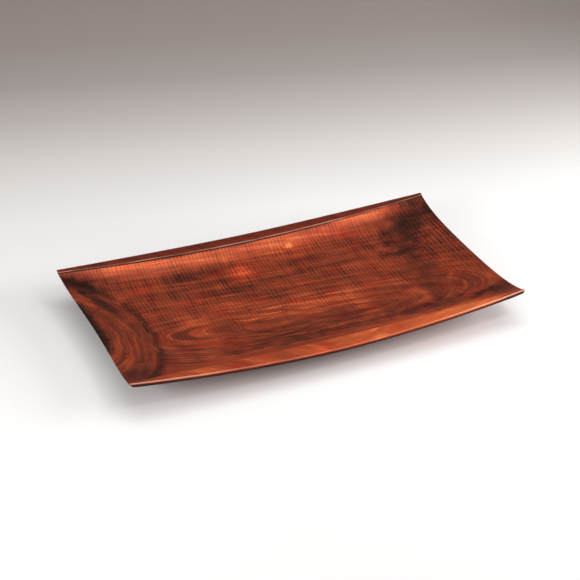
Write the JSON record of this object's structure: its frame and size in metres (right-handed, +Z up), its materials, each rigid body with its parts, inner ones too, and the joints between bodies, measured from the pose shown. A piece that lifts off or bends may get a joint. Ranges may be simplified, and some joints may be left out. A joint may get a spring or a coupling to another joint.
{
  "type": "lacquered wooden tray",
  "caption": "Long wooden serving tray with a hollowed dish, swept-up ends, lipped long edges and runners under it as feet.",
  "frame": {"origin": "on the table, under the middle of the tray", "axes": "+X along the tray, +Y to its rear long edge, +Z up"},
  "size_m": [0.45, 0.2666, 0.0379],
  "materials": {
    "lacquered_board": "red-brown wiped lacquer over curly figured wood, glossy",
    "lacquered_lipping": "red-brown wiped lacquer, glossy",
    "runner_wood": "red-brown wiped lacquer, satin",
    "peg_wood": "oiled end grain",
    "felt": "dark brown felt"
  },
  "bodies": {
    "root": {"tray_board": "lacquered_board", "rear_lipping": "lacquered_lipping", "front_lipping": "lacquered_lipping", "left_runner": "runner_wood", "right_runner": "runner_wood", "left_runner_peg": "peg_wood", "right_runner_peg": "peg_wood", "left_front_pad": "felt", "left_rear_pad": "felt", "right_front_pad": "felt", "right_rear_pad": "felt"}
  },
  "joints": []
}
